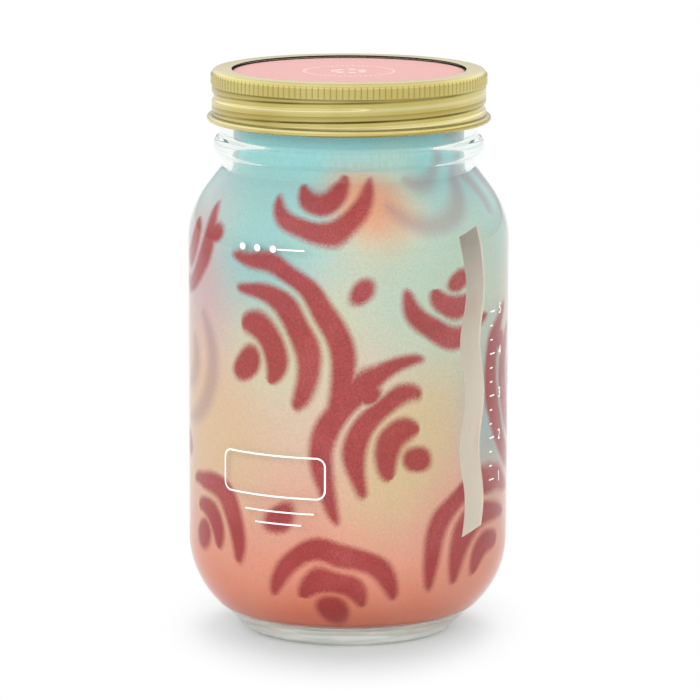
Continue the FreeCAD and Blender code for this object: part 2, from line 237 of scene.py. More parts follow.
def spaced(points, longest):
    """The points with more put in wherever a run is longer than the given length."""
    result = [points[0]]
    for a, b in zip(points, points[1:]):
        count = max(1, math.ceil((b - a).length / longest))
        result += [a.lerp(b, k / count) for k in range(1, count + 1)]
    return result


def on_jar(degrees, radius, z):
    angle = math.radians(degrees)
    return Vector((radius * math.sin(angle), -radius * math.cos(angle), z))


def add_object(name, data):
    obj = bpy.data.objects.new(name, data)
    bpy.context.scene.collection.objects.link(obj)
    return obj


def mesh_object(name, verts, faces, materials, smooth=True):
    mesh = bpy.data.meshes.new(name)
    mesh.from_pydata([tuple(v) for v in verts], [], faces)
    mesh.validate()
    mesh.update()
    for finish in materials:
        mesh.materials.append(finish)
    if smooth:
        mesh.shade_smooth()
    return add_object(name, mesh)


def grid_cell(i, k, columns):
    """The corners of a cell in rows of vertices, where the first column follows the last."""
    a, b = i * columns + k, i * columns + (k + 1) % columns
    return [a, b, b + columns, a + columns]


def closed_faces(cells, shift):
    """The faces of a thin closed piece: the cells of its front, the same cells behind them, whose vertices
    are shift further on, and the edge round them."""
    edges = {(cell[k - 1], cell[k]) for cell in cells for k in range(len(cell))}
    behind = [[v + shift for v in reversed(cell)] for cell in cells]
    return cells + behind + [(b, a, a + shift, b + shift) for a, b in sorted(edges) if (b, a) not in edges]


def lathe(name, points, segments, shape, finish):
    """A surface of revolution. shape(degrees, point, i) gives each point of the outline's (r, z) there."""
    verts, rows = [], []
    for i, point in enumerate(points):
        if point.x < 1e-9:
            rows.append([len(verts)] * segments)
            verts.append((0, 0, point.y))
            continue
        rows.append(list(range(len(verts), len(verts) + segments)))
        for k in range(segments):
            degrees = 360 * k / segments
            verts.append(on_jar(degrees, *shape(degrees, point, i)))
    faces = []
    for low, high in zip(rows, rows[1:]):
        for k in range(segments):
            after = (k + 1) % segments
            face = [low[k], low[after], high[after], high[k]]
            face = [v for j, v in enumerate(face) if v != face[j - 1]]
            if len(face) > 2:
                faces.append(face)
    return mesh_object(name, verts, faces, [finish])


def place(obj, body, slot, *replaced):
    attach(obj, body)
    if replaced:
        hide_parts(*replaced)
    return obj


def smoothstep(x):
    x = min(max(x, 0), 1)
    return x * x * (3 - 2 * x)


# Materials

def rgb(red, green, blue):
    """A colour from 0 to 255 steps, as the linear colour that a socket takes."""
    linear = []
    for step in (red, green, blue):
        share = step / 255
        linear.append(share / 12.92 if share <= 0.04045 else ((share + 0.055) / 1.055) ** 2.4)
    return (*linear, 1)


class Value:
    """A node's output, which can be reckoned with."""

    def __init__(self, graph, socket):
        self.graph, self.socket = graph, socket

    def __add__(self, other):
        return self.graph.math("ADD", self, other)

    def __sub__(self, other):
        return self.graph.math("SUBTRACT", self, other)

    def __rsub__(self, other):
        return self.graph.math("SUBTRACT", other, self)

    def __mul__(self, other):
        return self.graph.math("MULTIPLY", self, other)

    def __truediv__(self, other):
        return self.graph.math("DIVIDE", self, other)


class Graph:
    """Short ways to add nodes to a node tree. A Value is linked to a socket, and a number is set on it."""

    def __init__(self, tree):
        self.tree = tree

    def feed(self, socket, value):
        if isinstance(value, Value):
            self.tree.links.new(value.socket, socket)
        elif value is not None:
            socket.default_value = value

    def feed_all(self, sockets, values):
        for key, value in values.items():
            self.feed(sockets[key], value)

    def node(self, kind, inputs=None, **settings):
        node = self.tree.nodes.new(kind)
        for key, value in settings.items():
            setattr(node, key, value)
        self.feed_all(node.inputs, inputs or {})
        return node

    def value(self, kind, inputs=None, output=0, **settings):
        return Value(self, self.node(kind, inputs, **settings).outputs[output])

    def math(self, operation, a, b=None, c=None, clamp=False):
        values = dict(enumerate((a, b, c)))
        return self.value("ShaderNodeMath", values, operation=operation, use_clamp=clamp)

    def larger(self, a, b):
        return self.math("MAXIMUM", a, b)

    def hypot(self, a, b):
        return self.math("SQRT", a * a + b * b)

    def ramp(self, value, low, high, to_low=0.0, to_high=1.0, smooth=True):
        keys = ("Value", "From Min", "From Max", "To Min", "To Max")
        values = dict(zip(keys, (value, low, high, to_low, to_high)))
        kind = "SMOOTHSTEP" if smooth else "LINEAR"
        return self.value("ShaderNodeMapRange", values, interpolation_type=kind)

    def near(self, value, centre, outer, inner=0.0):
        """1 within the inner distance of a value, and 0 beyond the outer one."""
        return self.ramp(self.math("ABSOLUTE", value - centre), outer, inner)

    def mix(self, share, a, b):
        return self.value("ShaderNodeMix", {0: share, 6: a, 7: b}, output=2, data_type="RGBA")

    def layered(self, colour, *layers):
        """A colour with others over it, each given as (share, (red, green, blue))."""
        for share, tone in layers:
            colour = self.mix(share, colour, rgb(*tone))
        return colour

    def noise(self, vector, scale, detail=2.0, roughness=0.5):
        values = {"Vector": vector, "Scale": scale, "Detail": detail, "Roughness": roughness}
        return self.value("ShaderNodeTexNoise", values, output="Fac")

    def stretched(self, vector, x, y, z):
        return self.value("ShaderNodeMapping", {"Vector": vector, "Scale": (x, y, z)})

    def from_axis(self, vector, x=1):
        """The distance from the jar's axis, or with x above 1 the same for an oval, narrower along X."""
        flat = self.stretched(vector, x, 1, 0)
        return self.value("ShaderNodeVectorMath", {0: flat}, output="Value", operation="LENGTH")

    def bump(self, height, strength, distance):
        return self.value("ShaderNodeBump", {"Height": height, "Strength": strength, "Distance": distance})

    def emission(self, colour):
        return self.value("ShaderNodeEmission", {"Color": colour, "Strength": 1.0})

    def path(self, name):
        return self.value("ShaderNodeLightPath", output=name)

    def scattered(self):
        """1 for a ray that has left a dull surface."""
        return self.math("MINIMUM", self.path("Diffuse Depth"), 1.0)

    def blend_in(self, surface, share, shader):
        """Mixes a share of another shader into the one that feeds a material's surface."""
        mix = self.node("ShaderNodeMixShader", {0: share, 2: shader})
        self.tree.links.new(surface.links[0].from_socket, mix.inputs[1])
        self.tree.links.new(mix.outputs[0], surface)


def material(name):
    """A new material with its graph, its object coordinates and a Principled shader."""
    made = bpy.data.materials.new(name)
    made.use_nodes = True
    made.node_tree.nodes.clear()
    graph = Graph(made.node_tree)
    where = graph.value("ShaderNodeTexCoord", output="Object")
    shader = graph.node("ShaderNodeBsdfPrincipled")
    surface = graph.node("ShaderNodeOutputMaterial").inputs["Surface"]
    graph.feed(surface, Value(graph, shader.outputs[0]))
    return made, graph, where, shader.inputs, surface


def let_light_through(graph, surface, share=None):
    """Lets the lamps' light straight through glass, or a share of it and of scattered light through film."""
    light = graph.path("Is Shadow Ray")
    if share is not None:
        light = graph.larger(light, graph.scattered()) * share
    graph.blend_in(surface, light, graph.value("ShaderNodeBsdfTransparent", {"Color": rgb(250, 252, 251)}))


def make_glass():
    """Clear pressed glass with a faint waviness. Where a ray has bounced more than three times without
    meeting a dull surface, the glass shows a painted pale glow.
    """
    made, g, where, shader, surface = material("clear_glass")
    waves = g.noise(g.stretched(where, 1, 1, 0.35), 60, 1.0)
    g.feed_all(shader, {
        "Base Color": rgb(247, 252, 249), "Roughness": 0.0, "IOR": 1.5, "Transmission Weight": 1.0,
        "Normal": g.bump(waves, 0.12, 0.4 * MM),
    })
    let_light_through(g, surface)
    # Painted glow: rays caught inside the glass see a pale emission instead of it.
    caught = g.math("GREATER_THAN", g.path("Ray Depth"), 3.5)
    caught = caught * g.math("LESS_THAN", g.path("Diffuse Depth"), 0.5)
    g.blend_in(surface, caught, g.emission(rgb(236, 244, 243)))
    return made


def around(graph, where):
    """The angle round the jar from the front, in radians, and the height."""
    x, y, z = (Value(graph, part) for part in graph.node("ShaderNodeSeparateXYZ", {0: where}).outputs)
    return graph.math("ARCTAN2", x, y * -1.0), z


def new_group(name, *more):
    """A node group that makes a mask round a centre, and where a point is from there, along and up."""
    inputs = ("Angle", "Height", "Centre", "Level") + more
    tree = bpy.data.node_groups.new(name, "ShaderNodeTree")
    for key in inputs:
        tree.interface.new_socket(key, in_out="INPUT", socket_type="NodeSocketFloat")
    tree.interface.new_socket("Mask", in_out="OUTPUT", socket_type="NodeSocketFloat")
    graph = Graph(tree)
    sockets = graph.node("NodeGroupInput").outputs
    entry = {key: Value(graph, sockets[key]) for key in inputs}
    mask = graph.node("NodeGroupOutput").inputs[0]
    along = graph.math("WRAP", entry["Angle"] - entry["Centre"], math.pi, -math.pi) * liner_radius
    return tree, graph, entry, mask, along, entry["Height"] - entry["Level"]


def pebble_group():
    """A soft oval: Turn in radians, sizes in metres along the wall."""
    tree, g, entry, mask, u, v = new_group("pebble", "Length", "Width", "Turn", "Soft")
    cosine, sine = g.math("COSINE", entry["Turn"]), g.math("SINE", entry["Turn"])
    p = (u * cosine + v * sine) / entry["Length"]
    q = (v * cosine - u * sine) / entry["Width"]
    depth = (1.0 - g.hypot(p, q)) * entry["Width"]
    g.feed(mask, g.ramp(depth / (entry["Soft"] * 2.0) + 0.5, 0.0, 1.0))
    return tree


def ripple_group():
    """Nested arcs round a centre, each swelling in its middle and fading to soft points."""
    tree, g, entry, mask, u, v = new_group(
        "ripples", "Facing", "Spread", "First", "Gap", "Count", "Width", "Soft"
    )
    turn = g.math("WRAP", g.math("ARCTAN2", v, u) - entry["Facing"], math.pi, -math.pi)
    share = turn / entry["Spread"]
    taper = g.math("SQRT", g.math("SUBTRACT", 1.0, share * share, clamp=True))
    beyond = g.hypot(u, v) - entry["First"]
    half_gap = entry["Gap"] * 0.5
    reach = entry["Gap"] * entry["Count"] - half_gap
    kept = g.math("GREATER_THAN", beyond, half_gap * -1.0) * g.math("LESS_THAN", beyond, reach)
    depth = entry["Width"] * taper - g.math("PINGPONG", beyond, half_gap)
    cover = g.ramp(depth / (entry["Soft"] * 2.0) + 0.5, 0.0, 1.0)
    g.feed(mask, cover * (kept * g.ramp(taper, 0.0, 0.4)))
    return tree


# The wash of colour from the foot to the neck: height, colour. Heights and lengths of the print are in mm.
WASH = (
    (4, (232, 98, 64)), (18, (238, 130, 96)), (40, (246, 172, 148)), (66, (242, 196, 172)),
    (92, (234, 214, 190)), (116, (212, 222, 208)), (136, (186, 220, 213)), (160, (140, 218, 224)),
)

# Soft patches of colour behind the design: angle, height, half length, half width, turn, colour, strength
PATCHES = (
    (14, 137, 18, 13, 60, (226, 214, 184), 0.85),
    (8, 142, 15, 9, -25, (242, 168, 128), 0.95),
    (40, 112, 24, 22, 80, (206, 224, 200), 0.80),
    (-72, 112, 26, 20, 80, (222, 180, 184), 0.85),
    (-74, 78, 24, 18, 60, (246, 198, 178), 0.80),
    (-20, 100, 20, 14, 30, (226, 216, 178), 0.80),
    (-58, 66, 20, 22, 20, (240, 202, 160), 0.85),
    (66, 76, 24, 15, 85, (172, 194, 194), 0.85),
    (22, 66, 24, 14, 60, (232, 204, 152), 0.80),
    (-34, 128, 16, 18, 0, (158, 210, 210), 0.80),
    (-100, 58, 34, 20, 75, (234, 190, 150), 0.70),
    (112, 112, 34, 22, 70, (238, 186, 150), 0.75),
    (150, 60, 30, 22, 60, (158, 200, 202), 0.75),
    (-150, 118, 32, 24, 80, (226, 178, 172), 0.75),
    (-128, 146, 22, 14, 10, (240, 200, 160), 0.70),
)

# Groups of arcs: angle, height, facing, spread, first radius, gap, count, half width
RIPPLES = (
    (-40, 92, 30, 72, 11.0, 10.5, 3, 4.3),
    (26, 62, 150, 66, 10.0, 10.0, 3, 4.1),
    (44, 118, -110, 70, 9.0, 9.5, 2, 3.9),
    (-6, 14, 88, 76, 10.0, 10.5, 2, 4.4),
    (-66, 34, 50, 66, 9.0, 9.5, 2, 4.0),
    (-12, 152, -80, 74, 9.0, 9.5, 2, 3.8),
    (64, 26, 120, 72, 8.0, 9.5, 3, 4.0),
    (-84, 132, -40, 70, 9.0, 9.5, 2, 3.9),
    (100, 84, -160, 74, 10.0, 10.0, 3, 4.2),
    (118, 22, 80, 76, 9.0, 10.0, 2, 4.3),
    (140, 136, -70, 72, 9.0, 9.5, 2, 3.9),
    (164, 84, 20, 70, 10.0, 10.0, 3, 4.2),
    (-166, 28, 100, 76, 10.0, 10.0, 2, 4.3),
    (-150, 132, -120, 72, 9.0, 9.5, 2, 3.9),
    (-122, 78, 160, 72, 10.0, 10.0, 3, 4.2),
    (-108, 20, 70, 72, 9.0, 10.0, 2, 4.3),
)

# Pebbles: angle, height, half length, half width, turn
PEBBLES = (
    (-40, 92, 5.6, 5.0, 30), (26, 62, 5.0, 4.6, -20), (44, 118, 4.6, 4.2, 10), (-6, 14, 5.6, 4.6, 0),
    (-66, 34, 4.8, 4.2, 20), (5, 116, 4.0, 3.4, 15), (-26, 44, 5.4, 3.8, 20), (8, 84, 3.6, 3.2, 0),
    (72, 96, 4.6, 4.0, 25), (-58, 132, 4.2, 3.6, 0), (100, 84, 5.2, 4.8, 25), (118, 22, 5.4, 4.6, 0),
    (164, 84, 5.4, 4.8, -30), (-166, 28, 5.4, 4.8, 20), (-122, 78, 5.4, 4.8, 10), (136, 60, 4.6, 4.0, 0),
    (-148, 90, 4.6, 4.0, -20), (-96, 104, 4.4, 3.8, 8), (176, 128, 4.4, 3.8, 25), (-84, 62, 4.4, 3.8, -15),
)

# Faint arcs, out of focus behind the others, in the same terms as the groups of arcs
SHADOWS = (
    (34, 156, -60, 80, 9.0, 12.0, 2, 3.0),
    (58, 140, 40, 70, 10.0, 12.0, 2, 3.2),
    (-70, 150, 100, 70, 9.0, 12.0, 1, 3.2),
    (-84, 90, -20, 70, 9.0, 12.0, 2, 3.4),
    (150, 150, -100, 80, 9.0, 12.0, 2, 3.2),
    (-140, 60, 20, 80, 9.0, 12.0, 2, 3.4),
)


def make_print():
    """The liner's outer face: a wash of colours from orange at the foot to turquoise at the neck,
    under airbrushed arcs and pebbles with a fine grain. Scattered light sees it as a neutral grey."""
    made, g, where, shader, surface = material("airbrushed_print")
    angle, height = around(g, where)
    wash = g.node("ShaderNodeValToRGB", {0: (height + (g.noise(where, 28) - 0.5) * (26 * MM)) / jar_height})
    wash.color_ramp.interpolation = "B_SPLINE"
    top, elements = jar_height / MM, wash.color_ramp.elements
    for element, (z, tone) in zip(elements, (WASH[0], WASH[-1])):
        element.position, element.color = z / top, rgb(*tone)
    for z, tone in WASH[1:-1]:
        elements.new(z / top).color = rgb(*tone)
    colour = Value(g, wash.outputs[0])
    pebble, ripple = pebble_group(), ripple_group()

    def mask(tree, units, heights, *numbers):
        """One mask of a group, with the numbers of its further sockets in the given units."""
        values = (number * unit for number, unit in zip(numbers, units))
        return g.value("ShaderNodeGroup", dict(enumerate((angle, heights, *values))), node_tree=tree)

    def oval(entry, heights, soft):
        return mask(pebble, (DEGREE, MM, MM, MM, DEGREE, MM), heights, *entry, soft)

    def arcs(entries, heights, soft):
        units = (DEGREE, MM, DEGREE, DEGREE, MM, MM, 1.0, MM, MM)
        return functools.reduce(g.larger, (mask(ripple, units, heights, *entry, soft) for entry in entries))

    patches = ((oval(patch, height, 0.7 * patch[3]) * share, tone) for *patch, tone, share in PATCHES)
    colour = g.layered(colour, *patches, (arcs(SHADOWS, height, 2.6) * 0.5, (176, 132, 140)))

    grain, sway = g.noise(where, 2600, 1.0, 0.6), g.noise(where, 40, 1.0)
    ragged = height + (grain - 0.5) * (1.8 * MM) + (sway - 0.5) * (14 * MM)
    pebbles = (oval(entry, ragged, 1.4) for entry in PEBBLES)
    shape = functools.reduce(g.larger, pebbles, arcs(RIPPLES, ragged, 1.5))
    red = g.mix(g.ramp(height, 62 * MM, 10 * MM), rgb(174, 22, 32), rgb(168, 0, 2))
    red = g.mix(g.ramp(g.noise(where, 70), 0.4, 0.75) * 0.45, red, rgb(200, 78, 84))
    colour = g.mix(shape * 0.95, colour, red)
    speckle = g.ramp(g.noise(where, 1700, 2.0, 0.7), 0.35, 0.65, -1.0, 1.0, smooth=False)
    speckle = speckle * (shape * 0.2 + 0.06) + 1.0
    colour = g.value("ShaderNodeHueSaturation", {"Value": speckle, "Color": colour})
    g.feed_all(shader, {
        "Base Color": g.mix(g.scattered(), colour, rgb(120, 120, 120)), "Roughness": 0.5,
        "Specular IOR Level": 0.3, "Normal": g.bump(grain, 0.15, 0.05 * MM),
    })
    from_inside = g.value("ShaderNodeNewGeometry", output="Backfacing")
    let_light_through(g, surface, from_inside * FILM_GLOW)
    return made


def make_plain(
    name, colour, roughness, grain_scale=900, grain=0.06, bump=0.15, depth=0.05, metal=0.0, stretch=(1, 1, 1),
    glow=0.0, blush=None,
):
    """A plain surface whose colour, roughness and height vary with a fine noise. glow is the share of
    the light that a thin film lets through, and blush a second colour in soft patches."""
    made, g, where, shader, surface = material(name)
    fine = g.noise(g.stretched(where, *stretch), grain_scale, 3.0)
    dark = tuple(channel * (1 - grain * 2) for channel in rgb(*colour)[:3]) + (1,)
    tint = g.mix(g.ramp(fine, 0.3, 0.7, smooth=False), dark, rgb(*colour))
    if blush:
        tint = g.mix(g.ramp(g.noise(where, 38, 1.0), 0.46, 0.6), tint, rgb(*blush))
    rough = g.ramp(g.noise(where, 45), 0.3, 0.7, roughness * 0.85, min(roughness * 1.15, 1.0))
    normal = g.bump(fine, bump, depth * MM)
    g.feed_all(shader, {"Base Color": tint, "Roughness": rough, "Metallic": metal, "Normal": normal})
    if glow:
        let_light_through(g, surface, glow)
    return made


def make_gold():
    """Satin gold lacquer over tinplate, with faint marks of rolling along the wall. Painted shade darkens
    each groove and slope of the rolled thread, each valley between the knurls, the hem, the strip under the
    knurls and the lip's top; a painted shadow lines the lip's inner edge, and painted highlights run along
    each lower flank of the thread and along the top corner."""
    made, g, where, shader, surface = material("gold_lacquer")
    fine = g.noise(g.stretched(where, 1, 1, 6), 500, 3.0)
    angle, height = around(g, where)
    sweep = g.math("WRAP", angle - math.radians(THREAD_START), 2 * math.pi, 0.0)
    along = height - (band_low.z + ROLL_START) - sweep * (THREAD_LEAD / (2 * math.pi))
    lap = g.math("WRAP", along, THREAD_LEAD / 2, -THREAD_LEAD / 2)
    fade = g.ramp(g.noise(where, 60, 1.0), 0.3, 0.7, 0.55, 1.0)
    wall = g.ramp(height, knurl_low, knurl_low - 0.3 * MM)
    # Masks of painted shade: over the hem, under the knurls, in each valley between the knurls and in each
    # groove of the rolled thread.
    hem = g.near(height, band_low.z + 2.1 * CURL_RADIUS, 0.45 * MM)
    under_knurl_shade = g.near(height, knurl_low - 0.3 * MM, 0.5 * MM)
    valley_shade = g.ramp(1.0 - g.math("ABSOLUTE", g.math("SINE", angle * (KNURL_COUNT / 2))), 0.3, 1.0)
    valley_shade = valley_shade * (1.0 - wall) * g.ramp(height, band_high.z - 0.8 * MM, knurl_high)
    groove_shade = g.near(lap, 1.0 * MM, 0.75 * MM) * fade * wall
    groove_shade = g.larger(groove_shade, g.larger(hem, under_knurl_shade * fade) * 0.8)
    groove_shade = g.larger(groove_shade, valley_shade * 0.45)
    colour = g.mix(g.ramp(g.noise(where, 35), 0.35, 0.65), rgb(198, 182, 106), rgb(212, 198, 128))
    far = g.from_axis(where)
    # Painted highlight along the rounded top corner of the wall.
    corner = g.near(height, band_high.z - 0.5 * MM, 0.5 * MM, 0.1 * MM)
    corner = corner * g.ramp(far, BAND_WALL_RADIUS - BAND_CORNER, BAND_WALL_RADIUS - 0.6 * BAND_CORNER)
    colour = g.layered(
        colour,
        # painted shade over the rolled thread, deepening upwards from each groove
        (g.ramp(lap, 0.9 * MM, 3.0 * MM) * wall * 0.7, (156, 138, 66)),
        # painted highlight along each lower flank of the rolled thread
        (g.near(lap, -1.3 * MM, 1.0 * MM) * wall * 0.35, (246, 240, 204)),
        # painted shade in each groove, each valley between the knurls, over the hem and under the knurls
        (groove_shade * 0.9, (92, 80, 30)),
        # painted shade on the lip's flat top
        (g.ramp(height, band_high.z - 0.3 * MM, band_high.z - 0.1 * MM, 0.0, 0.35), (156, 138, 66)),
        (corner * 0.15, (252, 248, 222)),
        # painted shadow along the lip's inner edge
        (g.ramp(far, LIP_RADIUS + 0.3 * MM, LIP_RADIUS + 0.1 * MM), (30, 16, 12)),
    )
    rough, normal = g.ramp(fine, 0.3, 0.7, 0.22, 0.28), g.bump(fine, 0.12, 0.03 * MM)
    g.feed_all(shader, {"Base Color": colour, "Roughness": rough, "Metallic": 1.0, "Normal": normal})
    return made


def make_card():
    """Smooth pink card with a faint ring of dots round a small ring of marks, in a lighter pink, and a
    painted shadow along its rim under the band's lip.
    """
    made, g, where, shader, surface = material("pink_card")
    angle, far = around(g, where)[0], g.from_axis(where)

    def ring(count, off, on, radius, outer, inner):
        """A ring cut into marks: more of each turn is marked the lower off and on are."""
        marks = g.ramp(g.math("SINE", angle * float(count)), off, on)
        return marks * g.near(far, radius * MM, outer * MM, inner * MM)

    mark = g.larger(ring(54, -0.1, 0.4, 14.3, 0.6, 0.36), ring(7, -0.5, 0.2, 4.6, 1.4, 0.84))
    fine = g.noise(where, 1500, 3.0)
    paper = g.mix(g.ramp(fine, 0.3, 0.7), rgb(202, 147, 142), rgb(209, 155, 149))
    # Painted shadow along the card's rim, under the band's lip.
    edge = g.ramp(far, LIP_RADIUS - 0.9 * MM, LIP_RADIUS - 0.3 * MM)
    colour = g.layered(paper, (mark * 0.7, (246, 220, 215)), (edge, (52, 24, 22)))
    rough, normal = g.ramp(fine, 0.3, 0.7, 0.5, 0.62), g.bump(fine, 0.12, 0.03 * MM)
    g.feed_all(shader, {"Base Color": colour, "Roughness": rough, "Normal": normal})
    return made


def make_foot_glass():
    """The moulded ring under the heel: clear glass with a fine stipple that looks pale."""
    made, g, where, shader, surface = material("stippled_glass")
    streaks = g.noise(g.stretched(where, 1, 1, 9), 50)
    g.feed_all(shader, {
        "Base Color": g.mix(g.ramp(streaks, 0.35, 0.65), rgb(206, 212, 200), rgb(238, 240, 234)),
        "Roughness": 0.08, "IOR": 1.5, "Transmission Weight": 0.5,
        "Normal": g.bump(g.noise(where, 900), 0.3, 0.15 * MM),
    })
    let_light_through(g, surface)
    return made


glass = make_glass()
foot_glass = make_foot_glass()
printed = make_print()
liner_back = make_plain("liner_back", (252, 225, 207), 0.7, grain=0.02, glow=FILM_GLOW, blush=(248, 200, 188))
gold = make_gold()
tinplate = make_plain("tinplate", (196, 196, 192), 0.35, metal=1.0, stretch=(1, 1, 6))
pink_card = make_card()
silicone = make_plain("silicone", (232, 232, 226), 0.55)
steel = make_plain("brushed_steel", (190, 190, 190), 0.32, grain_scale=700, metal=1.0, stretch=(1, 1, 9))
felt_white = make_plain("wick_felt", (238, 234, 224), 0.95, grain_scale=1400, grain=0.12, bump=0.6, depth=0.4)
coco_light = make_plain("coco_strands", (158, 116, 76), 0.9, grain=0.2, bump=0.4, depth=0.1)
coco = make_plain("coco_fibre", (112, 76, 48), 0.95, grain=0.3, bump=0.8, depth=0.6, stretch=(1, 1, 3))
nonwoven = make_plain("nonwoven", (232, 230, 222), 0.9, grain_scale=1100, grain=0.08, bump=0.5, depth=0.2)
film = make_plain("sachet_film", (214, 220, 222), 0.3, grain_scale=300, grain=0.03, bump=0.25, depth=0.2)
kraft = make_plain("kraft_paper", (196, 158, 114), 0.8, grain_scale=1200, grain=0.1, stretch=(1, 4, 1))
white_paper = make_plain("white_paper", (244, 241, 234), 0.75, grain_scale=1200, grain=0.02)
white_ink = make_plain("white_ink", (250, 249, 246), 0.5, grain_scale=1500, grain=0.02)


# The glass jar

def inner_corners():
    """The jar's inside from its mouth to its floor, a wall's thickness in from the outside."""
    slope, inner_radius = math.tan(SHOULDER_SLOPE), body_radius - WALL
    shoulder = shoulder_height + WALL / slope - SHOULDER_WALL / math.sin(SHOULDER_SLOPE)
    heel = math.atan2(body_radius - HEEL_LOW_RADIUS, HEEL_HEIGHT - HEEL_LOW)
    heel_corner = HEEL_HEIGHT - WALL / math.tan(heel) + HEEL_WALL / math.sin(heel)
    floor_radius = inner_radius - (heel_corner - FLOOR_HEIGHT) * math.tan(heel)
    return [
        (MOUTH_RADIUS, jar_height, RIM_ROUND),
        (MOUTH_RADIUS, shoulder + (inner_radius - MOUTH_RADIUS) / slope, INNER_NECK_ROUND),
        (inner_radius, shoulder, INNER_SHOULDER_ROUND),
        (inner_radius, heel_corner, INNER_HEEL_ROUND),
        (floor_radius, FLOOR_HEIGHT, INNER_FLOOR_ROUND),
        (0, FLOOR_HEIGHT),
    ]


def thread_rise(degrees, z, start_z, turns, half):
    """How fully a thread that starts at THREAD_START stands at a place, from 0 to 1."""
    for lap in (0, 1, 2):
        along = (degrees - THREAD_START) % 360 + 360 * lap
        if along > 360 * turns:
            continue
        distance = abs(z - (start_z + THREAD_LEAD * along / 360))
        if distance < half:
            ends = min(along, 360 * turns - along) / THREAD_FADE
            return smoothstep(ends) * smoothstep((1 - distance / half) * THREAD_STEEPNESS)
    return 0


def glass_jar():
    """The glass body with its screw thread. The foot ring has a finish of its own."""
    ring_inner = FOOT_RADIUS - FOOT_WIDTH
    outside = [
        (0, PUSH_UP),
        (ring_inner - PUSH_UP_SLOPE, PUSH_UP, PUSH_UP_ROUND),
        (ring_inner, 0, FOOT_ROUND),
        (FOOT_RADIUS, 0, FOOT_ROUND),
        (RING_TOP_RADIUS, RING_TOP, LEDGE_ROUND),
        (HEEL_LOW_RADIUS, HEEL_LOW, LEDGE_ROUND),
        (body_radius, HEEL_HEIGHT, HEEL_ROUND),
        (body_radius, shoulder_height, SHOULDER_ROUND),
        (NECK_RADIUS, neck_low, NECK_ROUND),
        (NECK_RADIUS, bead_low, BEAD_ROOT_ROUND),
        (BEAD_RADIUS, bead_low + BEAD_FLANK, BEAD_ROUND),
        (BEAD_RADIUS, bead_top - BEAD_FLANK, BEAD_ROUND),
        (FINISH_RADIUS, bead_top, BEAD_ROOT_ROUND),
        (FINISH_RADIUS, jar_height, RIM_ROUND),
    ]
    points = outline(outside + inner_corners())
    finish = [i for i, p in enumerate(points) if abs(p.x - FINISH_RADIUS) < 1e-6]
    first, last = finish[0], finish[-1]
    points = points[:first] + spaced(points[first:last + 1], FINISH_ROW) + points[last + 1:]
    start_z = band_low.z + ROLL_START + THREAD_PLAY

    def with_thread(degrees, point, i):
        if abs(point.x - FINISH_RADIUS) > 1e-6:
            return point.x, point.y
        rise = thread_rise(degrees, point.y, start_z, THREAD_TURNS, THREAD_HALF)
        return point.x + THREAD_HEIGHT * rise, point.y

    jar = lathe("glass_body", spaced(points, JAR_ROW), JAR_SEGMENTS, with_thread, glass)
    jar.data.materials.append(foot_glass)
    ring_high = RING_TOP + 0.5 * (HEEL_LOW - RING_TOP)
    for polygon in jar.data.polygons:
        middle = polygon.center
        if middle.z < ring_high and math.hypot(middle.x, middle.y) > ring_inner:
            polygon.material_index = 1
    place(jar, "jar", "glass", "glass_jar")


glass_jar()


# The printed liner

def moved_path(corners, distance):
    """A path moved sideways to its right, with its roundings changed to stay parallel."""
    places = [Vector(c[:2]) for c in corners]
    runs = [(b - a).normalized() for a, b in zip(places, places[1:])]
    moved = []
    for corner, here, before, after in zip(corners, places, runs[:1] + runs, runs + runs[-1:]):
        normal = Vector((before.y, -before.x))
        across = (normal + Vector((after.y, -after.x))).normalized()
        spot = here + across * (distance / across.dot(normal))
        rounding = corner[2] if len(corner) > 2 else 0
        if rounding:
            rounding += distance if before.cross(after) > 0 else -distance
        moved.append((spot.x, spot.y, max(rounding, 0)))
    return moved


def radius_at(points, z):
    """Radius of a wall, given as points from top to bottom, at a height."""
    for a, b in zip(points, points[1:]):
        if b.y <= z <= a.y and a.y > b.y:
            return a.x + (b.x - a.x) * (a.y - z) / (a.y - b.y)
    return points[0].x if z > points[0].y else points[-1].x


